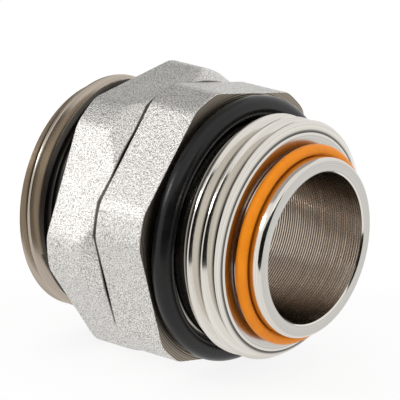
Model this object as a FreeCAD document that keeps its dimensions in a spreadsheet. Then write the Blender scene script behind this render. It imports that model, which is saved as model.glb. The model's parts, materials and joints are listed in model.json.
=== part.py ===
import FreeCAD, Part

import os

import Sketcher

# Swivel double nipple, modelled lying on its two wrench hexagons.
# X runs along the bore towards the nose, Z is up, and the origin is on the axis, halfway
# between the two ends. Lengths are in millimetres and angles in degrees.

SIZES = [
    ("across_flats", 37.0, "width of both wrench hexagons over their flats"),
    ("corner_diameter", 40.2, "diameter that the hexagon corners are turned to"),
    ("stagger_angle", 18.5, "turn from the sleeve's hexagon to the body's"),
    ("body_hex_width", 8.35, "length of the body's hexagon"),
    ("sleeve_hex_width", 7.8, "length of the sleeve's hexagon"),
    ("hex_gap", 0.15, "running gap between the two hexagons"),
    ("corner_bevel_length", 2.7, "length of the bevel on the body hexagon's front corners"),
    ("corner_bevel_diameter", 37.2, "diameter of that bevel at the hexagon's front face"),
    ("sleeve_back_edge", 0.3, "small bevel on the sleeve hexagon's rear corners"),
    ("thread_diameter", 33.25, "outside diameter of both threads"),
    ("thread_end_diameter", 29.4, "diameter of the flat end face in front of a thread"),
    ("thread_bevel_length", 0.6, "length of the lead-in bevel at a thread's end"),
    ("thread_back_bevel", 0.5, "bevel where a thread meets its neck"),
    ("thread_pitch", 2.309, "distance from crest to crest along a thread"),
    ("rear_groove_place", 0.7, "distance of the rear thread's first groove from its end face"),
    ("front_groove_place", 1.95, "distance of the front thread's first groove from its end face"),
    ("neck_diameter", 31.0, "diameter of the necks that carry the face rings"),
    ("rear_neck_length", 3.9, "length of the rear neck"),
    ("front_neck_length", 4.0, "length of the front neck"),
    ("rear_thread_length", 4.8, "length of the rear thread with its bevels"),
    ("front_thread_length", 6.2, "length of the front thread with its bevels"),
    ("face_ring_section", 3.0, "thickness of the front face ring"),
    ("rear_ring_section", 1.7, "thickness of the rear face ring"),
    ("bore_diameter", 20.9, "diameter of the water way"),
    ("bore_edge", 0.2, "bevel at both mouths of the water way"),
    ("tube_diameter", 25.7, "outside diameter of the tube that the sleeve turns on"),
    ("swivel_clearance", 0.05, "radial running clearance of the sleeve on the tube"),
    ("sleeve_mouth_edge", 0.2, "bevel at both mouths of the sleeve"),
    ("nose_diameter", 24.8, "outside diameter of the nose"),
    ("nose_length", 4.0, "how far the nose stands in front of the sleeve"),
    ("nose_lip_length", 1.7, "length of the nose in front of its ring seat"),
    ("nose_edge_radius", 0.6, "rounding of the nose's outer edge"),
    ("nose_seat_diameter", 24.4, "diameter at the bottom of the nose ring's seat"),
    ("nose_seat_width", 1.8, "width of the nose ring's seat"),
    ("nose_ring_section", 1.6, "thickness of the orange nose ring"),
    ("wire_diameter", 1.2, "thickness of the retaining wire ring"),
    ("wire_side_clearance", 0.05, "clearance at each side of the wire in the sleeve"),
    ("wire_play", 0.3, "clearance at each side of the wire in the tube's groove"),
    ("wire_root_clearance", 0.1, "spare depth when the wire is squeezed into the tube"),
    ("wire_grip", 0.6, "depth of the wire's groove in the sleeve"),
    ("wire_offset", 3.9, "distance of the wire from the sleeve's rear face"),
    ("wire_arc", 335.0, "angle that the open wire ring spans"),
]

# How far a cut reaches past the piece that it cuts.
BEYOND = "10"

# Two places or radii closer than this are the same one.
SAME_PLACE = 0.001

# Section of a pipe thread, as shares of its pitch: its depth, half the flat at a root, and
# how far its cutter stands above the crests. The last value is the slope of its flanks.
THREAD_DEPTH = "(sizes.thread_pitch * 0.6403)"
ROOT_HALF = "(sizes.thread_pitch / 12)"
CUTTER_RISE = "(sizes.thread_pitch * 0.1)"
FLANK_SLOPE = "tan(27.5 deg)"

doc = FreeCAD.newDocument("double_nipple")
sheet = doc.addObject("Spreadsheet::Sheet", "sizes")
for row, (alias, value, note) in enumerate(SIZES, start=1):
    sheet.set("A%d" % row, alias)
    sheet.set("B%d" % row, str(value))
    sheet.set("C%d" % row, note)
    sheet.setAlias("B%d" % row, alias)
doc.recompute()


def size(alias):
    """Expression that reads one size from the sheet."""
    return "sizes." + alias


def half(alias):
    """Expression for half of one size, such as a radius."""
    return "sizes." + alias + " / 2"


def total(*terms):
    """Expression for a sum of expressions."""
    return "(" + " + ".join(terms) + ")"


def less(first, *rest):
    """Expression for the first term less all the others."""
    return "(" + first + " - (" + " + ".join(rest) + "))"


# Stations along the axis. Those of the body are measured from the rear end face, and
# those of the sleeve from the sleeve's own rear face.
BODY_HEX_BACK = total(size("rear_thread_length"), size("rear_neck_length"))
BODY_HEX_FRONT = total(BODY_HEX_BACK, size("body_hex_width"))
SLEEVE_BACK = total(BODY_HEX_FRONT, size("hex_gap"))
SLEEVE_NECK = size("sleeve_hex_width")
SLEEVE_THREAD = total(SLEEVE_NECK, size("front_neck_length"))
SLEEVE_LENGTH = total(SLEEVE_THREAD, size("front_thread_length"))
OVERALL = total(SLEEVE_BACK, SLEEVE_LENGTH, size("nose_length"))
SEAT_FRONT = less(OVERALL, size("nose_lip_length"))
SEAT_BACK = less(SEAT_FRONT, size("nose_seat_width"))
BACK_END = "(0 - " + OVERALL + " / 2)"

# Each thread is cut from two turns in front of its first groove to half a turn past its
# back, in the neck.
TWO_TURNS = "(sizes.thread_pitch * 2)"
HALF_TURN = "(sizes.thread_pitch / 2)"

# Radii that follow from the sizes.
SLEEVE_BORE = total(half("tube_diameter"), size("swivel_clearance"))
WIRE_SEAT = total(SLEEVE_BORE, size("wire_grip"))
WIRE_CENTRE = less(WIRE_SEAT, half("wire_diameter"))
WIRE_ROOT = less(half("tube_diameter"), size("wire_diameter"), size("wire_root_clearance"))
HEX_CORNER = "(sizes.across_flats / sqrt(3))"
HEX_CORNER_HALF = "(sizes.across_flats / sqrt(3) / 2)"
OUTSIDE = total(HEX_CORNER, BEYOND)

# The bevel and the rounding at the nose's tip never take more than their share of its wall.
NOSE_WALL = less(half("nose_diameter"), half("bore_diameter"))
MOUTH_EDGE = "min(sizes.bore_edge; " + NOSE_WALL + " / 3)"
TIP_ROUNDING = "min(sizes.nose_edge_radius; " + NOSE_WALL + " / 2)"


def value_of(expression):
    """The present value of an expression, as a plain number."""
    number = sheet.evalExpression(expression)
    return float(getattr(number, "Value", number))


def start_body(label):
    """A new body with a label of its own."""
    body = doc.addObject("PartDesign::Body", label)
    body.Label = label
    return body


def plane_of(body, role):
    """One of a body's own origin planes."""
    for feature in body.Origin.OriginFeatures:
        if feature.Role == role:
            return feature
    raise RuntimeError("no plane " + role)


def start_sketch(body, name, role):
    """A new sketch on one of a body's origin planes."""
    sketch = body.newObject("Sketcher::SketchObject", name)
    sketch.AttachmentSupport = [(plane_of(body, role), "")]
    sketch.MapMode = "FlatFace"
    return sketch


def pin_point(sketch, geometry, corner, across, up):
    """Hold one end of a line at two expressions measured from the sketch's origin."""
    if value_of(across) == 0:
        sketch.addConstraint(Sketcher.Constraint("PointOnObject", geometry, corner, -2))
    else:
        index = sketch.addConstraint(
            Sketcher.Constraint("DistanceX", -1, 1, geometry, corner, value_of(across))
        )
        sketch.setExpression("Constraints[%d]" % index, across)
    if value_of(up) == 0:
        sketch.addConstraint(Sketcher.Constraint("PointOnObject", geometry, corner, -1))
    else:
        index = sketch.addConstraint(
            Sketcher.Constraint("DistanceY", -1, 1, geometry, corner, value_of(up))
        )
        sketch.setExpression("Constraints[%d]" % index, up)


def draw_outline(sketch, points):
    """A closed outline of straight lines whose corners follow pairs of expressions."""
    places = [FreeCAD.Vector(value_of(a), value_of(b), 0) for a, b in points]
    first = sketch.GeometryCount
    for start, end in zip(places, places[1:] + places[:1]):
        sketch.addGeometry(Part.LineSegment(start, end), False)
    count = len(points)
    for step in range(count):
        following = first + (step + 1) % count
        sketch.addConstraint(Sketcher.Constraint("Coincident", first + step, 2, following, 1))
    for step, (across, up) in enumerate(points):
        pin_point(sketch, first + step, 1, across, up)


def draw_circle(sketch, across, up, radius):
    """A circle whose centre and radius follow expressions."""
    centre = FreeCAD.Vector(value_of(across), value_of(up), 0)
    normal = FreeCAD.Vector(0, 0, 1)
    circle = sketch.addGeometry(Part.Circle(centre, normal, value_of(radius)), False)
    index = sketch.addConstraint(Sketcher.Constraint("Radius", circle, value_of(radius)))
    sketch.setExpression("Constraints[%d]" % index, radius)
    pin_point(sketch, circle, 3, across, up)


def hexagon(body, name, start, length):
    """A hexagonal block along the axis, with a flat facing down."""
    sketch = start_sketch(body, name + "_outline", "YZ_Plane")
    sketch.setExpression("AttachmentOffset.Base.z", start)
    flat = half("across_flats")
    minus_flat = "(0 - " + flat + ")"
    draw_outline(sketch, [
        (HEX_CORNER, "0"),
        (HEX_CORNER_HALF, flat),
        ("(0 - " + HEX_CORNER_HALF + ")", flat),
        ("(0 - " + HEX_CORNER + ")", "0"),
        ("(0 - " + HEX_CORNER_HALF + ")", minus_flat),
        (HEX_CORNER_HALF, minus_flat),
    ])
    pad = body.newObject("PartDesign::Pad", name)
    pad.Profile = sketch
    pad.setExpression("Length", length)
    sketch.Visibility = False
    doc.recompute()
    return pad


def turn(body, kind, name, points, angle="360"):
    """Material added to or cut from a body by turning an outline about the X axis."""
    sketch = start_sketch(body, name + "_outline", "XZ_Plane")
    draw_outline(sketch, points)
    feature = body.newObject("PartDesign::" + kind, name)
    feature.Profile = sketch
    feature.ReferenceAxis = (sketch, ["H_Axis"])
    feature.setExpression("Angle", angle)
    sketch.Visibility = False
    doc.recompute()
    return feature


def cut_thread(body, name, start, finish):
    """A right-hand thread cut along the axis, from one station to another.

    The cutter is drawn on the upper side of the piece, at the station where it starts.
    """
    root = less(half("thread_diameter"), THREAD_DEPTH)
    rise = total(half("thread_diameter"), CUTTER_RISE)
    rise_half = total(ROOT_HALF, total(THREAD_DEPTH, CUTTER_RISE) + " * " + FLANK_SLOPE)
    sketch = start_sketch(body, name + "_section", "XZ_Plane")
    draw_outline(sketch, [
        (less(start, ROOT_HALF), root),
        (total(start, ROOT_HALF), root),
        (total(start, rise_half), rise),
        (less(start, rise_half), rise),
    ])
    backwards = value_of(finish) < value_of(start)
    helix = body.newObject("PartDesign::SubtractiveHelix", name)
    helix.Profile = sketch
    helix.ReferenceAxis = (sketch, ["H_Axis"])
    helix.Mode = "pitch-height-angle"
    helix.LeftHanded = False
    helix.Reversed = backwards
    helix.setExpression("Pitch", size("thread_pitch"))
    helix.setExpression("Height", less(start, finish) if backwards else less(finish, start))
    sketch.Visibility = False
    doc.recompute()
    return helix


def place(item, along, angle=None):
    """Put a piece at its station on the axis, turned about the axis by an expression."""
    item.Placement = FreeCAD.Placement(
        FreeCAD.Vector(value_of(along), 0, 0),
        FreeCAD.Rotation(FreeCAD.Vector(1, 0, 0), value_of(angle) if angle else 0),
    )
    item.setExpression("Placement.Base.x", along)
    if angle:
        item.setExpression("Placement.Rotation.Angle", angle)


# Nipple body: rear thread, neck, hexagon, and the tube that ends in the nose, in one piece.
nipple = start_body("nipple_body")
hexagon(nipple, "body_hexagon", BODY_HEX_BACK, size("body_hex_width"))
turn(nipple, "Groove", "body_corners", [
    (less(BODY_HEX_BACK, BEYOND), half("corner_diameter")),
    (less(BODY_HEX_FRONT, size("corner_bevel_length")), half("corner_diameter")),
    (BODY_HEX_FRONT, half("corner_bevel_diameter")),
    (total(BODY_HEX_FRONT, BEYOND), half("corner_bevel_diameter")),
    (total(BODY_HEX_FRONT, BEYOND), OUTSIDE),
    (less(BODY_HEX_BACK, BEYOND), OUTSIDE),
])
WIRE_STATION = total(SLEEVE_BACK, size("wire_offset"))
TUBE_GROOVE_HALF = total(half("wire_diameter"), size("wire_play"))
turn(nipple, "Revolution", "turned_outside", [
    ("0", "0"),
    ("0", half("thread_end_diameter")),
    (size("thread_bevel_length"), half("thread_diameter")),
    (less(size("rear_thread_length"), size("thread_back_bevel")), half("thread_diameter")),
    (size("rear_thread_length"), less(half("thread_diameter"), size("thread_back_bevel"))),
    (size("rear_thread_length"), half("neck_diameter")),
    (BODY_HEX_BACK, half("neck_diameter")),
    (BODY_HEX_FRONT, half("neck_diameter")),
    (BODY_HEX_FRONT, half("tube_diameter")),
    (less(WIRE_STATION, TUBE_GROOVE_HALF), half("tube_diameter")),
    (less(WIRE_STATION, TUBE_GROOVE_HALF), WIRE_ROOT),
    (total(WIRE_STATION, TUBE_GROOVE_HALF), WIRE_ROOT),
    (total(WIRE_STATION, TUBE_GROOVE_HALF), half("tube_diameter")),
    (SEAT_BACK, half("tube_diameter")),
    (SEAT_BACK, half("nose_seat_diameter")),
    (SEAT_FRONT, half("nose_seat_diameter")),
    (SEAT_FRONT, half("nose_diameter")),
    (OVERALL, half("nose_diameter")),
    (OVERALL, "0"),
])
BORE_MOUTH = total(half("bore_diameter"), MOUTH_EDGE)
turn(nipple, "Groove", "water_way", [
    ("0", "0"),
    ("0", BORE_MOUTH),
    (MOUTH_EDGE, half("bore_diameter")),
    (less(OVERALL, MOUTH_EDGE), half("bore_diameter")),
    (OVERALL, BORE_MOUTH),
    (OVERALL, "0"),
])


def edge_at(shape, along, radius):
    """Name of the round edge at one station and radius."""
    for index, edge in enumerate(shape.Edges, start=1):
        box = edge.BoundBox
        flat_ring = box.XLength < SAME_PLACE
        same_place = abs(box.XMin - along) < SAME_PLACE
        same_size = abs(box.ZLength / 2 - radius) < SAME_PLACE
        if flat_ring and same_place and same_size:
            return "Edge%d" % index
    raise RuntimeError("no edge at %.3f" % along)


NOSE_TIP_EDGE = edge_at(nipple.Tip.Shape, value_of(OVERALL), value_of(half("nose_diameter")))
rounding = nipple.newObject("PartDesign::Fillet", "nose_rounding")
rounding.Base = (nipple.getObject("water_way"), [NOSE_TIP_EDGE])
rounding.setExpression("Radius", TIP_ROUNDING)
nipple.Tip = rounding
doc.recompute()
cut_thread(
    nipple,
    "rear_thread",
    less(size("rear_groove_place"), TWO_TURNS),
    total(size("rear_thread_length"), HALF_TURN),
)
place(nipple, BACK_END, half("stagger_angle"))

# Swivel sleeve: hexagon, neck and front thread, bored to turn on the tube.
sleeve = start_body("swivel_sleeve")
hexagon(sleeve, "sleeve_hexagon", "0", size("sleeve_hex_width"))
turn(sleeve, "Groove", "sleeve_corners", [
    ("(0 - " + BEYOND + ")", less(half("corner_diameter"), size("sleeve_back_edge"))),
    ("0", less(half("corner_diameter"), size("sleeve_back_edge"))),
    (size("sleeve_back_edge"), half("corner_diameter")),
    (total(SLEEVE_NECK, BEYOND), half("corner_diameter")),
    (total(SLEEVE_NECK, BEYOND), OUTSIDE),
    ("(0 - " + BEYOND + ")", OUTSIDE),
])
turn(sleeve, "Revolution", "sleeve_outside", [
    ("0", "0"),
    ("0", half("neck_diameter")),
    (SLEEVE_THREAD, half("neck_diameter")),
    (SLEEVE_THREAD, less(half("thread_diameter"), size("thread_back_bevel"))),
    (total(SLEEVE_THREAD, size("thread_back_bevel")), half("thread_diameter")),
    (less(SLEEVE_LENGTH, size("thread_bevel_length")), half("thread_diameter")),
    (SLEEVE_LENGTH, half("thread_end_diameter")),
    (SLEEVE_LENGTH, "0"),
])
SLEEVE_GROOVE_HALF = total(half("wire_diameter"), size("wire_side_clearance"))
SLEEVE_MOUTH = total(SLEEVE_BORE, size("sleeve_mouth_edge"))
turn(sleeve, "Groove", "sleeve_bore", [
    ("0", "0"),
    ("0", SLEEVE_MOUTH),
    (size("sleeve_mouth_edge"), SLEEVE_BORE),
    (less(size("wire_offset"), SLEEVE_GROOVE_HALF), SLEEVE_BORE),
    (less(size("wire_offset"), SLEEVE_GROOVE_HALF), WIRE_SEAT),
    (total(size("wire_offset"), SLEEVE_GROOVE_HALF), WIRE_SEAT),
    (total(size("wire_offset"), SLEEVE_GROOVE_HALF), SLEEVE_BORE),
    (less(SLEEVE_LENGTH, size("sleeve_mouth_edge")), SLEEVE_BORE),
    (SLEEVE_LENGTH, SLEEVE_MOUTH),
    (SLEEVE_LENGTH, "0"),
])
cut_thread(
    sleeve,
    "front_thread",
    total(less(SLEEVE_LENGTH, size("front_groove_place")), TWO_TURNS),
    less(SLEEVE_THREAD, HALF_TURN),
)
SLEEVE_PLACE = total(BACK_END, SLEEVE_BACK)
place(sleeve, SLEEVE_PLACE, "(0 - sizes.stagger_angle / 2)")

# Retaining ring: an open ring of round wire, half in the sleeve and half in the tube.
wire = start_body("retaining_ring")
wire_sketch = start_sketch(wire, "wire_outline", "XZ_Plane")
draw_circle(wire_sketch, "0", WIRE_CENTRE, half("wire_diameter"))
wire_turn = wire.newObject("PartDesign::Revolution", "wire_turn")
wire_turn.Profile = wire_sketch
wire_turn.ReferenceAxis = (wire_sketch, ["H_Axis"])
wire_turn.setExpression("Angle", size("wire_arc"))
wire_sketch.Visibility = False
doc.recompute()
place(wire, total(SLEEVE_PLACE, size("wire_offset")))


def ring(label, seat_radius, section, along):
    """A round rubber ring on its seat, about the X axis."""
    body = start_body(label)
    sketch = start_sketch(body, label + "_section", "XZ_Plane")
    draw_circle(sketch, "0", total(seat_radius, section + " / 2"), section + " / 2")
    turned = body.newObject("PartDesign::Revolution", label + "_turn")
    turned.Profile = sketch
    turned.ReferenceAxis = (sketch, ["H_Axis"])
    turned.Angle = 360
    sketch.Visibility = False
    doc.recompute()
    place(body, along)
    return body


rear_ring = ring(
    "rear_o_ring",
    half("neck_diameter"),
    size("rear_ring_section"),
    less(total(BACK_END, BODY_HEX_BACK), half("rear_ring_section")),
)
front_ring = ring(
    "front_o_ring",
    half("neck_diameter"),
    size("face_ring_section"),
    total(SLEEVE_PLACE, SLEEVE_NECK, half("face_ring_section")),
)
nose_ring = ring(
    "nose_o_ring",
    half("nose_seat_diameter"),
    size("nose_ring_section"),
    total(BACK_END, SEAT_BACK, half("nose_seat_width")),
)

doc.recompute()

PIECES = [nipple, sleeve, wire, rear_ring, front_ring, nose_ring]

for item in doc.Objects:
    if "Invalid" in item.State or "Error" in item.State:
        raise RuntimeError(item.Label + " could not be built")
for piece in PIECES:
    if piece.Shape.isNull() or not piece.Shape.isValid():
        raise RuntimeError(piece.Label + " has no valid shape")

os.makedirs("parts", exist_ok=True)
for piece in PIECES:
    shape = piece.Shape
    shape.exportStep("parts/" + piece.Label + ".step")
    print(piece.Label, len(shape.Solids), round(shape.Volume, 1), shape.BoundBox)
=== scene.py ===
import json
import math

import bpy
from mathutils import Matrix, Vector


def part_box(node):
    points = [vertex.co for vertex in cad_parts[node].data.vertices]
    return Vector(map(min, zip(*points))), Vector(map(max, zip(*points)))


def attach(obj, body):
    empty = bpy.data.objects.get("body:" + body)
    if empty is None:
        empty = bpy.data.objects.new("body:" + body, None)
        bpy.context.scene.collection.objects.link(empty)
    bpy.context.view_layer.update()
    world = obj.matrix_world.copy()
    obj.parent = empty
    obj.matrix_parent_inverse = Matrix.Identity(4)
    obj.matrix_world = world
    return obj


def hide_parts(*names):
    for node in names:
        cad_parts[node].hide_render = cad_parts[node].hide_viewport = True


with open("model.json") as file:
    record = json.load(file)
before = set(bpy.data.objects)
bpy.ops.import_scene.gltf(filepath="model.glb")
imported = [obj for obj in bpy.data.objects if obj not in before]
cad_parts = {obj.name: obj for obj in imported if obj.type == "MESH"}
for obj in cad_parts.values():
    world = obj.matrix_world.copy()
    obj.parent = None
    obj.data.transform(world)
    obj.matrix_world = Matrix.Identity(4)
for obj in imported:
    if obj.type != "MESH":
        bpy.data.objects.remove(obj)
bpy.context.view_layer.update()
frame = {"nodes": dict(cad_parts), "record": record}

bl_info = {
    "name": "Swivel Double Nipple",
    "version": (1, 0, 0),
    "blender": (4, 5, 0),
    "location": "View3D > Sidebar > Nipple",
    "description": "Models and finishes a swivel double nipple around its solids",
    "category": "Object",
}

MM = 0.001
FULL_TURN = 2 * math.pi

HEXAGON_SIDES = 6

# Steps of a full turn: the turned surfaces, a thread, a rubber ring and its section. Those
# of the turned surfaces are a whole number of times the hexagon's twelve half sides.
ROUND_STEPS = 180
THREAD_STEPS = 120
RING_STEPS = 192
SECTION_STEPS = 40

# Steps of a rounded corner, and rings of points along a hexagon's side.
CORNER_STEPS = 4
HEXAGON_STATIONS = 20

# Two points closer than this are the same one.
SAME_POINT = 0.0005 * MM

# Section of a pipe thread: half the angle between its flanks, and the radius of its rounded
# roots and crests as a share of the pitch. The crest keeps a narrow land, its rounding
# starts at a slight angle to it, and the cutter stands a little out of the metal.
FLANK_ANGLE = math.radians(27.5)
ROUNDING_SHARE = 0.11
ROUNDING_STEPS = 4
CREST_START = math.radians(12)
CREST_LAND = 0.03 * MM
CUTTER_SPARE = 0.6 * MM


def mount_of(name):
    """One mount of the record, by its name."""
    return next(m for m in frame["record"]["mounts"] if m["name"] == name)


def mount_span(name):
    """Where a mount's wall starts and ends along the axis."""
    mount = mount_of(name)
    middle = mount["pos_m"][0]
    half_length = mount["dims"]["length_mm"] * MM / 2
    return middle - half_length, middle + half_length


def mount_radius(name):
    """Radius of a mount's round wall."""
    return mount_of(name)["dims"]["r_mm"] * MM


# Stations along the axis and radii, read from the solids' boxes and the record's mounts.
BODY_LOW, BODY_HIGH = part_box("nipple_body")
SLEEVE_LOW, SLEEVE_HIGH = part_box("swivel_sleeve")
REAR_RING_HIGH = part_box("rear_o_ring")[1]
FRONT_RING_LOW, FRONT_RING_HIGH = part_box("front_o_ring")
NOSE_RING_LOW, NOSE_RING_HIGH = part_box("nose_o_ring")
WIRE_LOW, WIRE_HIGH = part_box("retaining_ring")

REAR_END = BODY_LOW.x
NOSE_END = BODY_HIGH.x
FLOOR_HEIGHT = BODY_LOW.z
SLEEVE_BACK = SLEEVE_LOW.x
SLEEVE_FRONT = SLEEVE_HIGH.x
BODY_HEX_BACK = REAR_RING_HIGH.x
SLEEVE_HEX_FRONT = FRONT_RING_LOW.x
REAR_THREAD_START, REAR_THREAD_END = mount_span("rear_thread")
FRONT_THREAD_START, FRONT_THREAD_END = mount_span("front_thread")
THREAD_RADIUS = mount_radius("front_thread")
NOSE_RADIUS = mount_radius("nose")
BORE_RADIUS = mount_radius("water_way")
FACE_RING_SECTION = FRONT_RING_HIGH.x - FRONT_RING_LOW.x
NOSE_RING_SECTION = NOSE_RING_HIGH.x - NOSE_RING_LOW.x
NECK_RADIUS = FRONT_RING_HIGH.y - FACE_RING_SECTION
NOSE_SEAT_RADIUS = NOSE_RING_HIGH.y - NOSE_RING_SECTION
WIRE_STATION = (WIRE_LOW.x + WIRE_HIGH.x) / 2
WIRE_DIAMETER = WIRE_HIGH.x - WIRE_LOW.x

# Where the middle of a groove of each thread crosses one side of the fitting, and which
# side that is, as a turn about the axis from +Y towards +Z.
REAR_GROOVE = -16.15 * MM
FRONT_GROOVE = 11.9 * MM
GROOVE_SIDE = math.radians(168.5)

# Painted shade in the thread roots, where the flanks shade them: from full to none above the root,
# and how far it reaches below.
ROOT_SHADE_FULL = 0.12 * MM
ROOT_SHADE_NONE = 0.42 * MM
ROOT_SHADE_BELOW = 0.1 * MM

# Painted shade in the seam: its half width where it is full and where it ends, and how much of
# the step between the two hexagons' corners, which the higher corner shades, it covers.
SEAM_SHADE_FULL = 0.12 * MM
SEAM_SHADE_NONE = 0.28 * MM
SEAM_STEP_SHADED = 0.85

# How a face is told by its place: a hexagon's sides lie more than this above the thread,
# the seam's faces this near to the sleeve's back, the end faces at least this far below
# the thread's crests, and the water way's wall within this of its radius. A face lies
# across the axis if its normal points along it by more than the last share.
COLLAR_ABOVE_THREAD = 0.4 * MM
SEAM_FACE_REACH = 0.5 * MM
END_FACE_BELOW_CREST = 1.6 * MM
BORE_SKIN = 0.02 * MM
ACROSS_SHARE = 0.9

# Turns of the thread cutters: before the named groove, and in all.
REAR_CUTTER_BEFORE = 3
FRONT_CUTTER_BEFORE = 2
CUTTER_TURNS = 5

# Largest angles between two faces that are still shaded as one.
TURNED_CREASE = math.radians(30)
RUBBER_CREASE = math.radians(40)


def length_prop(name, default_mm, description):
    """A length that a user may change, given in millimetres."""
    return bpy.props.FloatProperty(
        name=name, description=description, default=default_mm * MM, min=0.0,
        unit="LENGTH", precision=5,
    )


def colour_prop(name, default, description):
    """A colour that a user may change."""
    return bpy.props.FloatVectorProperty(
        name=name, description=description, default=default, size=3, min=0.0, max=1.0,
        subtype="COLOR",
    )


class NippleSizes(bpy.types.PropertyGroup):
    """Sizes of the turned pieces that their solids don't state by name."""

    across_flats: length_prop("Across Flats", 37.0, "Width of both hexagons over their flats")
    corner_diameter: length_prop("Corner Diameter", 40.2, "Diameter that the corners are turned to")
    stagger: bpy.props.FloatProperty(
        name="Stagger", description="Turn from the sleeve's hexagon to the body's",
        default=math.radians(18.5), subtype="ANGLE",
    )
    seam: length_prop("Seam", 0.15, "Gap between the two hexagons")
    bevel_length: length_prop("Bevel Length", 2.7, "Length of the body hexagon's corner bevel")
    bevel_diameter: length_prop("Bevel Diameter", 37.2, "Diameter of that bevel at the seam")
    corner_blend: length_prop("Corner Blend", 0.3, "Softness of the hexagons' long corners")
    bevel_blend: length_prop("Bevel Blend", 0.3, "Softness of the body hexagon's bevels")
    soft_edge: length_prop("Soft Edge", 0.25, "Rounding of the hexagons' outer edges")
    turned_edge: length_prop("Turned Edge", 0.06, "Rounding of the turned edges")
    thread_end: length_prop("Thread End", 29.4, "Diameter of the end face of a thread")
    thread_back: length_prop("Thread Back", 0.5, "Bevel where a thread meets its neck")
    thread_pitch: length_prop("Thread Pitch", 2.309, "Distance from crest to crest")
    thread_depth: length_prop("Thread Depth", 1.479, "Depth from crest to root")
    tube_diameter: length_prop("Tube Diameter", 25.7, "Tube that the sleeve turns on")
    running_gap: length_prop("Running Gap", 0.05, "Radial gap of the sleeve on the tube")
    mouth_edge: length_prop("Mouth Edge", 0.2, "Bevel at both mouths of the sleeve")
    bore_edge: length_prop("Bore Edge", 0.2, "Bevel at both mouths of the water way")
    nose_rounding: length_prop("Nose Rounding", 0.6, "Rounding of the nose's outer edge")
    nose_lip: length_prop("Nose Lip", 1.7, "Length of the nose in front of its ring's seat")
    nose_seat: length_prop("Nose Seat", 1.8, "Width of the nose ring's seat")
    wire_play: length_prop("Wire Play", 0.3, "Room at each side of the wire in the tube")
    wire_side: length_prop("Wire Side", 0.05, "Room at each side of the wire in the sleeve")
    wire_grip: length_prop("Wire Grip", 0.6, "Depth of the wire's groove in the sleeve")
    wire_spare: length_prop("Wire Spare", 0.1, "Spare depth below the squeezed wire")
    flash_width: length_prop("Flash Width", 0.16, "Width of the mould line on a ring")


class NippleFinish(bpy.types.PropertyGroup):
    """Colours of the finishes."""

    blasted: colour_prop("Blasted Plate", (0.87, 0.85, 0.815), "Nickel plate on blasted brass")
    pits: colour_prop("Blasted Pits", (0.29, 0.278, 0.255), "The same plate down in the pits")
    # Painted light: the end faces get this darker copy of the plate and the nose and threads the
    # brighter one below, standing in for the dimmer and brighter reflections they show.
    turned: colour_prop("Turned Plate", (0.62, 0.6, 0.565), "Nickel plate on turned faces")
    bright: colour_prop("Bright Plate", (0.77, 0.735, 0.675), "Thick plate on the nose and threads")
    # Painted shade: a darker, warmer copy of the bright plate that stands in for the dimmer
    # reflections of the rear thread.
    rear: colour_prop("Rear Thread Plate", (0.5, 0.435, 0.36), "Thin warm plate on the rear thread")
    faced: colour_prop("Faced Plate", (0.42, 0.36, 0.29), "Coarsely faced shoulders")
    # Painted shade: this dark tone stands in for the shade in the narrow seam between the hexagons
    # and in the rear neck.
    seam: colour_prop("Seam Faces", (0.09, 0.083, 0.073), "Greasy faces of the seam and rear neck")
    bore: colour_prop("Bore", (0.94, 0.84, 0.74), "Thin plate over brass in the water way")
    black_rubber: colour_prop("Black Rubber", (0.006, 0.006, 0.0062), "Face rings")
    orange_rubber: colour_prop("Orange Rubber", (0.92, 0.27, 0.006), "Nose ring")
    steel: colour_prop("Wire Steel", (0.5, 0.5, 0.51), "Retaining wire")
    floor: colour_prop("Floor", (0.85, 0.85, 0.85), "Floor of the studio")


# Modelling helpers


def leave_edit():
    """Back to object mode, from wherever the last step ended."""
    if bpy.context.mode != "OBJECT":
        bpy.ops.object.mode_set(mode="OBJECT")


def use_only(piece):
    """Select one object and make it active."""
    leave_edit()
    bpy.ops.object.select_all(action="DESELECT")
    piece.select_set(True)
    bpy.context.view_layer.objects.active = piece


def edit(piece, kind="VERT", action="SELECT"):
    """Open one object's mesh for editing, all selected or none."""
    use_only(piece)
    bpy.ops.object.mode_set(mode="EDIT")
    bpy.ops.mesh.select_mode(type=kind)
    bpy.ops.mesh.select_all(action=action)


def settle(piece):
    """Put an object's place and turn into its mesh."""
    use_only(piece)
    bpy.ops.object.transform_apply(location=True, rotation=True, scale=True)


def turn_about_axis(piece, angle):
    """Turn a mesh about the bore axis."""
    piece.matrix_world = Matrix.Rotation(angle, 4, "X") @ piece.matrix_world
    settle(piece)


def apply_modifier(piece, modifier):
    """Make a modifier's result the mesh itself."""
    use_only(piece)
    bpy.ops.object.modifier_apply(modifier=modifier.name)


def radius_of(point):
    """Distance of a point from the bore axis."""
    return math.hypot(point.y, point.z)


def round_corner(before, corner, after, rounding):
    """The arc that replaces one corner of an outline."""
    back = math.atan2(before[1] - corner[1], before[0] - corner[0])
    ahead = math.atan2(after[1] - corner[1], after[0] - corner[0])
    opening = (ahead - back + math.pi) % FULL_TURN - math.pi
    middle = back + opening / 2
    to_centre = rounding / abs(math.sin(opening / 2))
    centre = (
        corner[0] + to_centre * math.cos(middle),
        corner[1] + to_centre * math.sin(middle),
    )
    sweep = math.copysign(math.pi, opening) - opening
    arc = []
    for step in range(CORNER_STEPS + 1):
        angle = middle + math.pi + sweep * (0.5 - step / CORNER_STEPS)
        point = (centre[0] + rounding * math.cos(angle), centre[1] + rounding * math.sin(angle))
        arc.append(point)
    return arc


def outline_points(corners):
    """An outline's points, from corners that may state a rounding as their third value."""
    places = [corner[:2] for corner in corners]
    points = []
    for index, corner in enumerate(corners):
        if len(corner) == 2:
            points.append(corner)
        else:
            before = places[index - 1]
            after = places[(index + 1) % len(places)]
            points.extend(round_corner(before, places[index], after, corner[2]))
    return points


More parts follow.
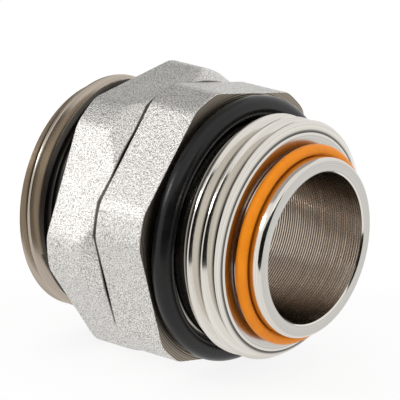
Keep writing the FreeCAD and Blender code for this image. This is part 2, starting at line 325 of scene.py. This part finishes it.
def draw_outline(name, corners):
    """A closed outline of edges above the axis, from pairs of station and radius."""
    points = outline_points(corners)
    start_x, start_radius = points[0]
    leave_edit()
    bpy.ops.object.select_all(action="DESELECT")
    bpy.ops.mesh.primitive_plane_add(size=MM, location=(start_x, 0.0, start_radius))
    piece = bpy.context.object
    piece.name = name
    settle(piece)
    edit(piece)
    bpy.ops.mesh.merge(type="CENTER")
    for (last_x, last_radius), (x, radius) in zip(points, points[1:]):
        step = (x - last_x, 0.0, radius - last_radius)
        bpy.ops.mesh.extrude_vertices_move(TRANSFORM_OT_translate={"value": step})
    leave_edit()
    ends = [Vector((x, 0.0, radius)) for x, radius in (points[0], points[-1])]
    edit(piece, action="DESELECT")
    leave_edit()
    for vertex in piece.data.vertices:
        vertex.select = any((vertex.co - end).length < SAME_POINT for end in ends)
    bpy.ops.object.mode_set(mode="EDIT")
    bpy.ops.mesh.edge_face_add()
    leave_edit()
    return piece


def spin_outline(piece):
    """Turn an outline about the bore axis into a closed solid."""
    edit(piece)
    bpy.ops.mesh.spin(
        steps=ROUND_STEPS, angle=FULL_TURN, center=(0.0, 0.0, 0.0), axis=(1.0, 0.0, 0.0),
    )
    bpy.ops.mesh.select_all(action="SELECT")
    bpy.ops.mesh.remove_doubles(threshold=SAME_POINT)
    bpy.ops.mesh.normals_make_consistent(inside=False)
    leave_edit()


def soft_least(first, second, blend):
    """The smaller of two radii, rounded off where they are nearly the same."""
    overlap = max(blend - abs(first - second), 0.0) / blend
    return min(first, second) - overlap * overlap * blend / 4


def form_hexagon(piece, back, front, bevel=None):
    """Bring a turned collar down to its six flats, with soft corners and bevelled ends.

    The bevel, if any, is its length and its radius at the front face.
    """
    s = bpy.context.scene.nipple_sizes
    corner = s.corner_diameter / 2
    flat = s.across_flats / 2
    side = FULL_TURN / HEXAGON_SIDES
    least = NECK_RADIUS + FACE_RING_SECTION / 2
    for vertex in piece.data.vertices:
        place = vertex.co
        radius = radius_of(place)
        if radius < least or not back - SAME_POINT < place.x < front + SAME_POINT:
            continue
        angle = math.atan2(place.z, place.y) - math.pi / 2
        from_flat = (angle + side / 2) % side - side / 2
        outside = soft_least(flat / math.cos(from_flat), corner, s.corner_blend)
        if bevel:
            length, end_radius = bevel
            cone = end_radius + (front - place.x) * (corner - end_radius) / length
            outside = soft_least(outside, cone, s.bevel_blend)
        scale = (radius - (corner - outside)) / radius
        vertex.co = (place.x, place.y * scale, place.z * scale)


def hexagon_line(back, front, radius):
    """Stations along a hexagon's side, close enough for its soft bevels."""
    step = (front - back) / HEXAGON_STATIONS
    return [(back + step * count, radius) for count in range(1, HEXAGON_STATIONS)]


def cut_away(piece, cutter):
    """Cut one solid out of another and delete the cutter."""
    modifier = piece.modifiers.new("cut", "BOOLEAN")
    modifier.operation = "DIFFERENCE"
    modifier.solver = "EXACT"
    modifier.object = cutter
    apply_modifier(piece, modifier)
    bpy.data.objects.remove(cutter)


def groove_section(pitch, depth):
    """One half of a thread groove's section, from its root up past the rounded crest."""
    rounding = pitch * ROUNDING_SHARE
    steep = math.pi / 2 - FLANK_ANGLE
    turns = [steep * step / ROUNDING_STEPS for step in range(ROUNDING_STEPS + 1)]
    crest_turns = [CREST_START + (steep - CREST_START) * step / ROUNDING_STEPS
                   for step in range(ROUNDING_STEPS + 1)]
    root = [
        (rounding * math.sin(turn), THREAD_RADIUS - depth + rounding * (1 - math.cos(turn)))
        for turn in turns
    ]
    reach = pitch / 2 - CREST_LAND
    crest = [
        (reach - rounding * math.sin(turn), THREAD_RADIUS - rounding * (1 - math.cos(turn)))
        for turn in reversed(crest_turns)
    ]
    return root + crest + [(reach, THREAD_RADIUS + CUTTER_SPARE)]


def thread_cutter(name, groove, before, turns):
    """A solid right-hand helix that cuts a thread, started some turns before one groove."""
    sizes = bpy.context.scene.nipple_sizes
    pitch = sizes.thread_pitch
    start = groove - before * pitch
    half = groove_section(pitch, sizes.thread_depth)
    points = [(start + x, radius) for x, radius in half]
    points += [(start - x, radius) for x, radius in reversed(half[1:])]
    cutter = draw_outline(name, points)
    turn_about_axis(cutter, GROOVE_SIDE - math.pi / 2)
    screw = cutter.modifiers.new("helix", "SCREW")
    screw.axis = "X"
    screw.angle = FULL_TURN
    screw.screw_offset = pitch
    screw.iterations = turns
    screw.steps = THREAD_STEPS
    screw.render_steps = THREAD_STEPS
    screw.use_smooth_shade = False
    apply_modifier(cutter, screw)
    edit(cutter, "EDGE", "DESELECT")
    bpy.ops.mesh.select_non_manifold()
    bpy.ops.mesh.edge_face_add()
    bpy.ops.mesh.select_all(action="SELECT")
    bpy.ops.mesh.normals_make_consistent(inside=False)
    leave_edit()
    return cutter


def finish_faces(piece, materials, choose):
    """Give a piece its materials, each face the one that a function chooses."""
    piece.data.materials.clear()
    for material in materials:
        piece.data.materials.append(material)
    for polygon in piece.data.polygons:
        polygon.material_index = choose(polygon.center, polygon.normal)


def smooth(piece, angle):
    """Smooth shading up to a crease angle."""
    use_only(piece)
    bpy.ops.object.shade_smooth_by_angle(angle=angle)


# Shader node groups


def new_group(name, inputs, outputs):
    """A shader node group with float or vector inputs and outputs."""
    group = bpy.data.node_groups.new(name, "ShaderNodeTree")
    for socket_name, kind, default in inputs:
        socket = group.interface.new_socket(
            name=socket_name, in_out="INPUT", socket_type="NodeSocket" + kind,
        )
        socket.default_value = default
    for socket_name, kind in outputs:
        group.interface.new_socket(
            name=socket_name, in_out="OUTPUT", socket_type="NodeSocket" + kind,
        )
    return group, group.nodes.new("NodeGroupInput"), group.nodes.new("NodeGroupOutput")


def math_node(tree, operation, first, second=None, clamp=False):
    """A Math node whose inputs are sockets or numbers."""
    node = tree.nodes.new("ShaderNodeMath")
    node.operation = operation
    node.use_clamp = clamp
    for index, value in enumerate((first, second)):
        if value is None:
            continue
        if isinstance(value, (int, float)):
            node.inputs[index].default_value = value
        else:
            tree.links.new(value, node.inputs[index])
    return node.outputs[0]


def noise_node(tree, vector, scale, detail=2.0, dimensions="3D", roughness=0.5):
    """A Noise Texture node's value."""
    node = tree.nodes.new("ShaderNodeTexNoise")
    node.noise_dimensions = dimensions
    node.inputs["Detail"].default_value = detail
    node.inputs["Roughness"].default_value = roughness
    if isinstance(scale, (int, float)):
        node.inputs["Scale"].default_value = scale
    else:
        tree.links.new(scale, node.inputs["Scale"])
    tree.links.new(vector, node.inputs["W" if dimensions == "1D" else "Vector"])
    return node.outputs[0]


def range_node(tree, value, low, high, to_low=0.0, to_high=1.0):
    """A clamped Map Range node."""
    node = tree.nodes.new("ShaderNodeMapRange")
    for name, number in (
        ("From Min", low), ("From Max", high), ("To Min", to_low), ("To Max", to_high),
    ):
        node.inputs[name].default_value = number
    tree.links.new(value, node.inputs["Value"])
    return node.outputs["Result"]


def mix_colour(tree, factor, first, second):
    """A Mix node for colours whose inputs are sockets or colours."""
    node = tree.nodes.new("ShaderNodeMix")
    node.data_type = "RGBA"
    tree.links.new(factor, node.inputs["Factor"])
    for name, value in (("A", first), ("B", second)):
        socket = next(s for s in node.inputs if s.name == name and s.type == "RGBA")
        if isinstance(value, bpy.types.NodeSocket):
            tree.links.new(value, socket)
        else:
            socket.default_value = (*value, 1.0)
    return next(s for s in node.outputs if s.type == "RGBA")


def object_place(tree):
    """The Object coordinate of a surface point."""
    return tree.nodes.new("ShaderNodeTexCoord").outputs["Object"]


def radius_node(tree, place):
    """Distance of a surface point from the bore axis, from its separated coordinates."""
    squares = math_node(
        tree, "ADD",
        math_node(tree, "MULTIPLY", place.outputs["Y"], place.outputs["Y"]),
        math_node(tree, "MULTIPLY", place.outputs["Z"], place.outputs["Z"]),
    )
    return math_node(tree, "SQRT", squares)


def turning_marks_group():
    """Fine rings left by a turning tool, along the axis and across the faces alike, and a mask of
    painted shade in the thread roots.
    """
    group, given, result = new_group(
        "turning_marks",
        [("Feed", "Float", 0.15), ("Regular", "Float", 0.3)],
        [("Height", "Float"), ("Streak", "Float"), ("Roots", "Float")],
    )
    place = group.nodes.new("ShaderNodeSeparateXYZ")
    group.links.new(object_place(group), place.inputs[0])
    radius = radius_node(group, place)
    along = math_node(group, "ADD", place.outputs["X"], radius)
    frequency = math_node(group, "DIVIDE", 1.0 / MM, given.outputs["Feed"])
    scratches = noise_node(group, along, frequency, detail=3.0, dimensions="1D")
    turns = math_node(group, "MULTIPLY", math_node(group, "MULTIPLY", along, frequency), FULL_TURN)
    waves = math_node(group, "MULTIPLY", math_node(group, "SINE", turns), 0.5)
    ridges = math_node(group, "ADD", waves, 0.5)
    share = given.outputs["Regular"]
    rest = math_node(group, "SUBTRACT", 1.0, share)
    height = math_node(
        group, "ADD", math_node(group, "MULTIPLY", ridges, share),
        math_node(group, "MULTIPLY", scratches, rest),
    )
    group.links.new(height, result.inputs["Height"])
    coarse = noise_node(group, along, math_node(group, "MULTIPLY", frequency, 0.45),
                        detail=3.0, dimensions="1D")
    group.links.new(range_node(group, coarse, 0.35, 0.65), result.inputs["Streak"])
    # Painted shade: a mask that darkens the thread roots, where the flanks shade each other.
    root = THREAD_RADIUS - bpy.context.scene.nipple_sizes.thread_depth
    low = range_node(group, radius, root + ROOT_SHADE_NONE, root + ROOT_SHADE_FULL)
    above = math_node(group, "GREATER_THAN", radius, root - ROOT_SHADE_BELOW)
    group.links.new(math_node(group, "MULTIPLY", low, above), result.inputs["Roots"])
    return group


def blasted_grain_group():
    """The pebbly grain that blasting leaves: rounded pits and small bright peaks."""
    group, given, result = new_group(
        "blasted_grain",
        [("Grain", "Float", 0.28)],
        [("Height", "Float"), ("Pits", "Float"), ("Cloud", "Float")],
    )
    vector = object_place(group)
    frequency = math_node(group, "DIVIDE", 1.0 / MM, given.outputs["Grain"])
    pebbles = noise_node(group, vector, frequency, detail=2.5, roughness=0.6)
    coarse = noise_node(group, vector, math_node(group, "MULTIPLY", frequency, 0.3), detail=2.0)
    height = math_node(group, "ADD", pebbles, math_node(group, "MULTIPLY", coarse, 0.8))
    group.links.new(height, result.inputs["Height"])
    group.links.new(range_node(group, pebbles, 0.54, 0.4), result.inputs["Pits"])
    cloud = noise_node(group, vector, 0.22 / MM, detail=3.0)
    group.links.new(range_node(group, cloud, 0.3, 0.7), result.inputs["Cloud"])
    return group


# Materials


def new_material(name):
    """A material with its Principled shader, ready for links."""
    material = bpy.data.materials.new(name)
    material.use_nodes = True
    tree = material.node_tree
    return material, tree, tree.nodes["Principled BSDF"]


def place_group(tree, name, **values):
    """One of the shared groups in a material, with its own values."""
    node = tree.nodes.new("ShaderNodeGroup")
    node.node_tree = bpy.data.node_groups[name]
    for socket_name, value in values.items():
        node.inputs[socket_name].default_value = value
    return node.outputs


def bump(tree, height, distance, strength=1.0):
    """A Bump node's normal, its depth given in metres."""
    node = tree.nodes.new("ShaderNodeBump")
    node.inputs["Strength"].default_value = strength
    node.inputs["Distance"].default_value = distance
    tree.links.new(height, node.inputs["Height"])
    return node.outputs["Normal"]


def seam_shade_mask(tree):
    """One where shade is painted in the seam and the step between the hexagons, zero elsewhere."""
    s = bpy.context.scene.nipple_sizes
    side = FULL_TURN / HEXAGON_SIDES
    place = tree.nodes.new("ShaderNodeSeparateXYZ")
    tree.links.new(object_place(tree), place.inputs[0])
    angle = math_node(tree, "ARCTAN2", place.outputs["Z"], place.outputs["Y"])
    turned = math_node(tree, "ADD", angle, s.stagger / 2 + side / 2 - math.pi / 2)
    within_side = math_node(tree, "FLOORED_MODULO", turned, side)
    from_flat = math_node(tree, "SUBTRACT", within_side, side / 2)
    flat = math_node(tree, "DIVIDE", s.across_flats / 2, math_node(tree, "COSINE", from_flat))
    sleeve_radius = math_node(tree, "MINIMUM", flat, s.corner_diameter / 2)
    step = math_node(tree, "SUBTRACT", sleeve_radius, radius_node(tree, place))
    shaded_step = math_node(tree, "MULTIPLY", math_node(tree, "MAXIMUM", step, 0.0), SEAM_STEP_SHADED)
    from_seam = math_node(tree, "SUBTRACT", place.outputs["X"], SLEEVE_BACK - s.seam / 2)
    distance = math_node(tree, "SUBTRACT", math_node(tree, "ABSOLUTE", from_seam), shaded_step)
    return range_node(tree, distance, SEAM_SHADE_NONE, SEAM_SHADE_FULL)


def blasted_plate():
    """Nickel plate over blasted brass, as on the hexagons."""
    colours = bpy.context.scene.nipple_finish
    material, tree, shader = new_material("blasted_plate")
    grain = place_group(tree, "blasted_grain", Grain=0.15)
    shader.inputs["Metallic"].default_value = 1.0
    plate = mix_colour(tree, grain["Pits"], colours.blasted, colours.pits)
    # Painted shade along the seam and over the step behind the higher hexagon corners.
    tree.links.new(mix_colour(tree, seam_shade_mask(tree), plate, colours.seam),
                   shader.inputs["Base Color"])
    tree.links.new(range_node(tree, grain["Cloud"], 0.0, 1.0, 0.36, 0.46),
                   shader.inputs["Roughness"])
    tree.links.new(bump(tree, grain["Height"], 0.07 * MM), shader.inputs["Normal"])
    return material


def turned_plate(name, colour, feed, roughness, depth_mm, regular=0.2, dark_share=0.85):
    """Turned metal with the tool's rings and painted shade in the thread roots.

    Feed and depth are the width and the height of the rings in millimetres, regular is how
    even they are, and dark_share is the tone of the darker ones.
    """
    material, tree, shader = new_material(name)
    marks = place_group(tree, "turning_marks", Feed=feed, Regular=regular)
    shader.inputs["Metallic"].default_value = 1.0
    dark = tuple(part * dark_share for part in colour)
    # Painted shade: the thread roots get a much darker copy of the colour.
    root_shade = tuple(part * 0.14 for part in colour)
    lines = marks["Height"] if regular > 0.5 else marks["Streak"]
    plate = mix_colour(tree, lines, colour, dark)
    tree.links.new(mix_colour(tree, marks["Roots"], plate, root_shade), shader.inputs["Base Color"])
    tree.links.new(range_node(tree, marks["Streak"], 0.0, 1.0, roughness, roughness + 0.06),
                   shader.inputs["Roughness"])
    tree.links.new(bump(tree, marks["Height"], depth_mm * MM), shader.inputs["Normal"])
    return material


def rubber(name, colour, roughness, shine):
    """Moulded rubber with a faint bloom."""
    material, tree, shader = new_material(name)
    vector = object_place(tree)
    bloom = noise_node(tree, vector, 0.5 / MM, detail=4.0)
    pale = tuple(min(1.0, part * 1.15 + 0.001) for part in colour)
    shader.inputs["Specular IOR Level"].default_value = shine
    tree.links.new(mix_colour(tree, range_node(tree, bloom, 0.4, 0.7), colour, pale),
                   shader.inputs["Base Color"])
    tree.links.new(range_node(tree, bloom, 0.3, 0.7, roughness - 0.05, roughness + 0.08),
                   shader.inputs["Roughness"])
    fine = noise_node(tree, vector, 6.0 / MM, detail=2.0)
    tree.links.new(bump(tree, fine, 0.004 * MM), shader.inputs["Normal"])
    return material


# Pieces


PLATES = (
    "blasted_plate", "turned_plate", "bright_plate", "rear_plate", "bored_brass", "seam_plate",
    "faced_plate",
)


def plate_of_place(hex_back, hex_front):
    """Chooses the plate of a face by its place and direction."""
    collar = THREAD_RADIUS + COLLAR_ABOVE_THREAD

    def choose(centre, normal):
        radius = radius_of(centre)
        across = abs(normal.x) > ACROSS_SHARE
        at_hexagon = hex_back - SAME_POINT < centre.x < hex_front + SAME_POINT
        if at_hexagon and (across or radius > collar):
            name = "faced_plate" if across else "blasted_plate"
            # Painted shade: the faces in the seam and the rear neck get a dark plate.
            if across and abs(centre.x - SLEEVE_BACK) < SEAM_FACE_REACH:
                name = "seam_plate"
        elif radius < BORE_RADIUS + BORE_SKIN:
            name = "bored_brass"
        elif REAR_THREAD_END < centre.x < BODY_HEX_BACK:
            name = "seam_plate"
        # Painted shade: the rear thread gets a darker copy of the bright plate.
        elif centre.x < BODY_HEX_BACK:
            name = "rear_plate"
        # Painted light: end faces get the darker copy of the plate, the nose and threads the
        # brighter one.
        elif across and radius < THREAD_RADIUS - END_FACE_BELOW_CREST:
            name = "turned_plate"
        else:
            name = "bright_plate"
        return PLATES.index(name)

    return choose


def finish_turned_piece(piece, hex_back, hex_front):
    """The plates of a turned piece, and its shading."""
    materials = [bpy.data.materials[name] for name in PLATES]
    finish_faces(piece, materials, plate_of_place(hex_back, hex_front))
    smooth(piece, TURNED_CREASE)


class NIPPLE_OT_materials(bpy.types.Operator):
    """Make the shared node groups and the materials"""

    bl_idname = "nipple.materials"
    bl_label = "Materials"

    def execute(self, context):
        colours = context.scene.nipple_finish
        turning_marks_group()
        blasted_grain_group()
        blasted_plate()
        # Painted light: a darker copy of the plate for the end faces and a brighter one for the
        # nose and threads.
        turned_plate("turned_plate", tuple(colours.turned), feed=0.12, roughness=0.2,
                     depth_mm=0.0012)
        turned_plate("bright_plate", tuple(colours.bright), feed=0.12, roughness=0.1,
                     depth_mm=0.0015)
        # Painted shade: a darker copy of the bright plate for the rear thread.
        turned_plate("rear_plate", tuple(colours.rear), feed=0.12, roughness=0.2,
                     depth_mm=0.003)
        turned_plate("bored_brass", tuple(colours.bore), feed=0.38, roughness=0.12,
                     depth_mm=0.05, regular=0.7, dark_share=0.22)
        turned_plate("faced_plate", tuple(colours.faced), feed=0.3, roughness=0.35,
                     depth_mm=0.03, regular=0.6, dark_share=0.25)
        # Painted shade: the dark plate of the seam's faces and the rear neck.
        turned_plate("seam_plate", tuple(colours.seam), feed=0.12, roughness=0.4,
                     depth_mm=0.002)
        turned_plate("drawn_wire", tuple(colours.steel), feed=0.05, roughness=0.3,
                     depth_mm=0.002)
        rubber("black_ring_rubber", tuple(colours.black_rubber), roughness=0.26, shine=0.3)
        rubber("orange_ring_rubber", tuple(colours.orange_rubber), roughness=0.3, shine=0.2)
        return {"FINISHED"}


class NIPPLE_OT_body(bpy.types.Operator):
    """Model the nipple body: rear thread, hexagon, tube and nose"""

    bl_idname = "nipple.body"
    bl_label = "Nipple Body"

    def execute(self, context):
        s = context.scene.nipple_sizes
        hex_front = SLEEVE_BACK - s.seam
        tube = s.tube_diameter / 2
        wire_root = tube - WIRE_DIAMETER - s.wire_spare
        wire_half = WIRE_DIAMETER / 2 + s.wire_play
        seat_front = NOSE_END - s.nose_lip
        seat_back = seat_front - s.nose_seat
        edge = s.turned_edge
        corner = s.corner_diameter / 2
        outline = [
            (REAR_END, s.thread_end / 2, edge),
            (REAR_THREAD_START, THREAD_RADIUS, edge),
            (REAR_THREAD_END, THREAD_RADIUS, edge),
            (REAR_THREAD_END + s.thread_back, THREAD_RADIUS - s.thread_back, edge),
            (REAR_THREAD_END + s.thread_back, NECK_RADIUS),
            (BODY_HEX_BACK, NECK_RADIUS),
            (BODY_HEX_BACK, corner, s.soft_edge),
            *hexagon_line(BODY_HEX_BACK, hex_front, corner),
            (hex_front, corner, s.soft_edge),
            (hex_front, tube),
            (WIRE_STATION - wire_half, tube),
            (WIRE_STATION - wire_half, wire_root),
            (WIRE_STATION + wire_half, wire_root),
            (WIRE_STATION + wire_half, tube),
            (seat_back, tube, edge),
            (seat_back, NOSE_SEAT_RADIUS),
            (seat_front, NOSE_SEAT_RADIUS),
            (seat_front, NOSE_RADIUS, edge),
            (NOSE_END, NOSE_RADIUS, s.nose_rounding),
            (NOSE_END, BORE_RADIUS + s.bore_edge, edge / 2),
            (NOSE_END - s.bore_edge, BORE_RADIUS, edge / 2),
            (REAR_END + s.bore_edge, BORE_RADIUS, edge / 2),
            (REAR_END, BORE_RADIUS + s.bore_edge, edge / 2),
        ]
        piece = draw_outline("nipple_body_finished", outline)
        spin_outline(piece)
        form_hexagon(piece, BODY_HEX_BACK, hex_front, (s.bevel_length, s.bevel_diameter / 2))
        turn_about_axis(piece, s.stagger / 2)
        cutter = thread_cutter("rear_groove", REAR_GROOVE, REAR_CUTTER_BEFORE, CUTTER_TURNS)
        cut_away(piece, cutter)
        finish_turned_piece(piece, BODY_HEX_BACK, hex_front)
        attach(piece, "main_body")
        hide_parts("nipple_body")
        return {"FINISHED"}


class NIPPLE_OT_sleeve(bpy.types.Operator):
    """Model the swivel sleeve: hexagon, neck and front thread"""

    bl_idname = "nipple.sleeve"
    bl_label = "Swivel Sleeve"

    def execute(self, context):
        s = context.scene.nipple_sizes
        bore = s.tube_diameter / 2 + s.running_gap
        wire_half = WIRE_DIAMETER / 2 + s.wire_side
        corner = s.corner_diameter / 2
        edge = s.turned_edge
        outline = [
            (SLEEVE_BACK, corner, s.soft_edge),
            *hexagon_line(SLEEVE_BACK, SLEEVE_HEX_FRONT, corner),
            (SLEEVE_HEX_FRONT, corner, edge * 2),
            (SLEEVE_HEX_FRONT, NECK_RADIUS),
            (FRONT_THREAD_START - s.thread_back, NECK_RADIUS),
            (FRONT_THREAD_START - s.thread_back, THREAD_RADIUS - s.thread_back, edge),
            (FRONT_THREAD_START, THREAD_RADIUS, edge),
            (FRONT_THREAD_END, THREAD_RADIUS, edge),
            (SLEEVE_FRONT, s.thread_end / 2, edge),
            (SLEEVE_FRONT, bore + s.mouth_edge, edge / 2),
            (SLEEVE_FRONT - s.mouth_edge, bore, edge / 2),
            (WIRE_STATION + wire_half, bore),
            (WIRE_STATION + wire_half, bore + s.wire_grip),
            (WIRE_STATION - wire_half, bore + s.wire_grip),
            (WIRE_STATION - wire_half, bore),
            (SLEEVE_BACK + s.mouth_edge, bore),
            (SLEEVE_BACK, bore + s.mouth_edge),
        ]
        piece = draw_outline("swivel_sleeve_finished", outline)
        spin_outline(piece)
        form_hexagon(piece, SLEEVE_BACK, SLEEVE_HEX_FRONT)
        turn_about_axis(piece, -s.stagger / 2)
        cutter = thread_cutter("front_groove", FRONT_GROOVE, FRONT_CUTTER_BEFORE, CUTTER_TURNS)
        cut_away(piece, cutter)
        finish_turned_piece(piece, SLEEVE_BACK, SLEEVE_HEX_FRONT)
        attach(piece, "sleeve")
        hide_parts("swivel_sleeve")
        return {"FINISHED"}


def rubber_ring(name, node, body, slot, material):
    """A moulded ring on its seat, with the fine line of its mould round the outside."""
    low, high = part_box(node)
    section = high.x - low.x
    middle = (low.x + high.x) / 2
    leave_edit()
    bpy.ops.object.select_all(action="DESELECT")
    bpy.ops.mesh.primitive_torus_add(
        major_segments=RING_STEPS, minor_segments=SECTION_STEPS,
        major_radius=high.y - section / 2, minor_radius=section / 2,
        location=(middle, 0.0, 0.0), rotation=(0.0, math.pi / 2, 0.0),
    )
    piece = bpy.context.object
    piece.name = name
    settle(piece)
    width = bpy.context.scene.nipple_sizes.flash_width
    edit(piece, "EDGE", "DESELECT")
    leave_edit()
    for edge in piece.data.edges:
        ends = [piece.data.vertices[index].co for index in edge.vertices]
        edge.select = all(
            abs(end.x - middle) < SAME_POINT and radius_of(end) > high.y - section / 2
            for end in ends
        )
    bpy.ops.object.mode_set(mode="EDIT")
    bpy.ops.mesh.bevel(offset_type="OFFSET", offset=width / 2, segments=2, affect="EDGES")
    leave_edit()
    finish_faces(piece, [bpy.data.materials[material]], lambda centre, normal: 0)
    smooth(piece, RUBBER_CREASE)
    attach(piece, body)
    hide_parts(node)


class NIPPLE_OT_rings(bpy.types.Operator):
    """Model the three seal rings and finish the retaining wire"""

    bl_idname = "nipple.rings"
    bl_label = "Rings"

    def execute(self, context):
        black = ("black_rubber", "black_ring_rubber")
        orange = ("orange_rubber", "orange_ring_rubber")
        rubber_ring("rear_face_ring", "rear_o_ring", "main_body", *black)
        rubber_ring("front_face_ring", "front_o_ring", "sleeve", *black)
        rubber_ring("nose_ring", "nose_o_ring", "main_body", *orange)
        wire = frame["nodes"]["retaining_ring"]
        wire.data.materials.clear()
        wire.data.materials.append(bpy.data.materials["drawn_wire"])
        return {"FINISHED"}


# Studio


# The camera's place, the direction it looks back along, its roll, and its lens and sensor
# in millimetres, all fitted to the photo.
CAMERA_PLACE = (0.2734, -0.3480, 0.1330)
CAMERA_BACK = (0.5934, -0.7536, 0.2828)
CAMERA_ROLL = math.radians(2.5)
CAMERA_LENS = 303.26
SENSOR_WIDTH = 36.0


class NIPPLE_OT_stage(bpy.types.Operator):
    """Set up the floor, the lamps and the camera"""

    bl_idname = "nipple.stage"
    bl_label = "Stage"

    def execute(self, context):
        scene = context.scene
        leave_edit()
        bpy.ops.object.select_all(action="DESELECT")
        bpy.ops.mesh.primitive_plane_add(size=6.0, location=(0.0, 0.0, FLOOR_HEIGHT))
        floor = context.object
        floor.name = "studio_floor"
        settle(floor)
        floor.data.materials.append(floor_material())
        white_world()
        lamp("key", (-0.34, -0.42, 0.3), 0.12, 0.7)
        lamp("fill", (0.5, -0.35, 0.45), 0.4, 0.25)
        studio_card("near_card", (0.0526, -0.0438, 0.01), 0.12, 0.058, 0.01)
        studio_card("far_card", (0.55, -0.1, 0.18), 0.3, 0.35, 0.05)
        studio_card("ceiling_card", (-0.55, 0.2, 0.65), 1.3, 1.0, 0.42)
        back = Vector(CAMERA_BACK)
        camera_data = bpy.data.cameras.new("camera")
        camera_data.lens = CAMERA_LENS
        camera_data.sensor_width = SENSOR_WIDTH
        camera_data.clip_start = 0.01
        camera_data.clip_end = 20.0
        camera = bpy.data.objects.new("camera", camera_data)
        scene.collection.objects.link(camera)
        turn = back.to_track_quat("Z", "Y").to_matrix().to_4x4()
        roll = Matrix.Rotation(CAMERA_ROLL, 4, "Z")
        camera.matrix_world = Matrix.Translation(Vector(CAMERA_PLACE)) @ turn @ roll
        scene.camera = camera
        scene.view_settings.view_transform = "Standard"
        return {"FINISHED"}


def lamp(name, place, size, power):
    """A square soft lamp that points at the middle of the fitting."""
    data = bpy.data.lights.new(name, "AREA")
    data.energy = power
    data.size = size
    item = bpy.data.objects.new(name, data)
    item.location = place
    item.rotation_mode = "QUATERNION"
    item.rotation_quaternion = Vector(place).to_track_quat("Z", "Y")
    bpy.context.scene.collection.objects.link(item)


def studio_card(name, place, width, height, tone):
    """A card of one grey that only reflections show, facing the fitting."""
    leave_edit()
    bpy.ops.object.select_all(action="DESELECT")
    bpy.ops.mesh.primitive_plane_add(size=1.0)
    card = bpy.context.object
    card.name = name
    turn = Vector(place).to_track_quat("Z", "Y").to_matrix().to_4x4()
    stretch = Matrix.Diagonal((width, height, 1.0, 1.0))
    card.matrix_world = Matrix.Translation(place) @ turn @ stretch
    settle(card)
    material, tree, shader = new_material(name)
    shader.inputs["Base Color"].default_value = (0.0, 0.0, 0.0, 1.0)
    shader.inputs["Specular IOR Level"].default_value = 0.0
    shader.inputs["Emission Color"].default_value = (1.0, 1.0, 1.0, 1.0)
    shader.inputs["Emission Strength"].default_value = tone
    card.data.materials.append(material)
    card.visible_camera = False
    card.visible_diffuse = False
    card.visible_shadow = False


def floor_material():
    """Pale floor that looks white to the camera and in metal, and keeps the shadow."""
    colours = bpy.context.scene.nipple_finish
    material, tree, shader = new_material("studio_floor")
    shader.inputs["Base Color"].default_value = (*colours.floor, 1.0)
    shader.inputs["Roughness"].default_value = 0.9
    shader.inputs["Specular IOR Level"].default_value = 0.0
    glow = tree.nodes.new("ShaderNodeEmission")
    glow.inputs["Strength"].default_value = 1.05
    rays = tree.nodes.new("ShaderNodeLightPath")
    seen = math_node(tree, "MAXIMUM", rays.outputs["Is Camera Ray"], rays.outputs["Is Glossy Ray"])
    share = math_node(tree, "MULTIPLY", seen, 0.82)
    mix = tree.nodes.new("ShaderNodeMixShader")
    tree.links.new(share, mix.inputs["Fac"])
    tree.links.new(shader.outputs[0], mix.inputs[1])
    tree.links.new(glow.outputs[0], mix.inputs[2])
    output = next(node for node in tree.nodes if node.type == "OUTPUT_MATERIAL")
    tree.links.new(mix.outputs[0], output.inputs["Surface"])
    return material


def white_world():
    """White all round to the camera and in metal, and a softer light on everything else."""
    world = bpy.context.scene.world or bpy.data.worlds.new("studio")
    bpy.context.scene.world = world
    world.use_nodes = True
    tree = world.node_tree
    background = next(node for node in tree.nodes if node.type == "BACKGROUND")
    background.inputs["Color"].default_value = (1.0, 1.0, 1.0, 1.0)
    rays = tree.nodes.new("ShaderNodeLightPath")
    seen = math_node(tree, "MAXIMUM", rays.outputs["Is Camera Ray"], rays.outputs["Is Glossy Ray"])
    seen = math_node(tree, "MAXIMUM", seen, rays.outputs["Is Transmission Ray"])
    tree.links.new(range_node(tree, seen, 0.0, 1.0, 0.85, 1.0), background.inputs["Strength"])


class NIPPLE_PT_panel(bpy.types.Panel):
    """Lists the steps in the sidebar"""

    bl_idname = "NIPPLE_PT_panel"
    bl_label = "Swivel Double Nipple"
    bl_space_type = "VIEW_3D"
    bl_region_type = "UI"
    bl_category = "Nipple"

    def draw(self, context):
        for operator in OPERATORS:
            self.layout.operator(operator.bl_idname)


OPERATORS = (
    NIPPLE_OT_materials,
    NIPPLE_OT_body,
    NIPPLE_OT_sleeve,
    NIPPLE_OT_rings,
    NIPPLE_OT_stage,
)
CLASSES = (NippleSizes, NippleFinish, *OPERATORS, NIPPLE_PT_panel)


def register():
    for kind in CLASSES:
        bpy.utils.register_class(kind)
    bpy.types.Scene.nipple_sizes = bpy.props.PointerProperty(type=NippleSizes)
    bpy.types.Scene.nipple_finish = bpy.props.PointerProperty(type=NippleFinish)


def unregister():
    del bpy.types.Scene.nipple_finish
    del bpy.types.Scene.nipple_sizes
    for kind in reversed(CLASSES):
        bpy.utils.unregister_class(kind)


def main():
    """Build every piece and the stage."""
    register()
    bpy.ops.nipple.materials()
    bpy.ops.nipple.body()
    bpy.ops.nipple.sleeve()
    bpy.ops.nipple.rings()
    bpy.ops.nipple.stage()


if __name__ == "__main__":
    main()
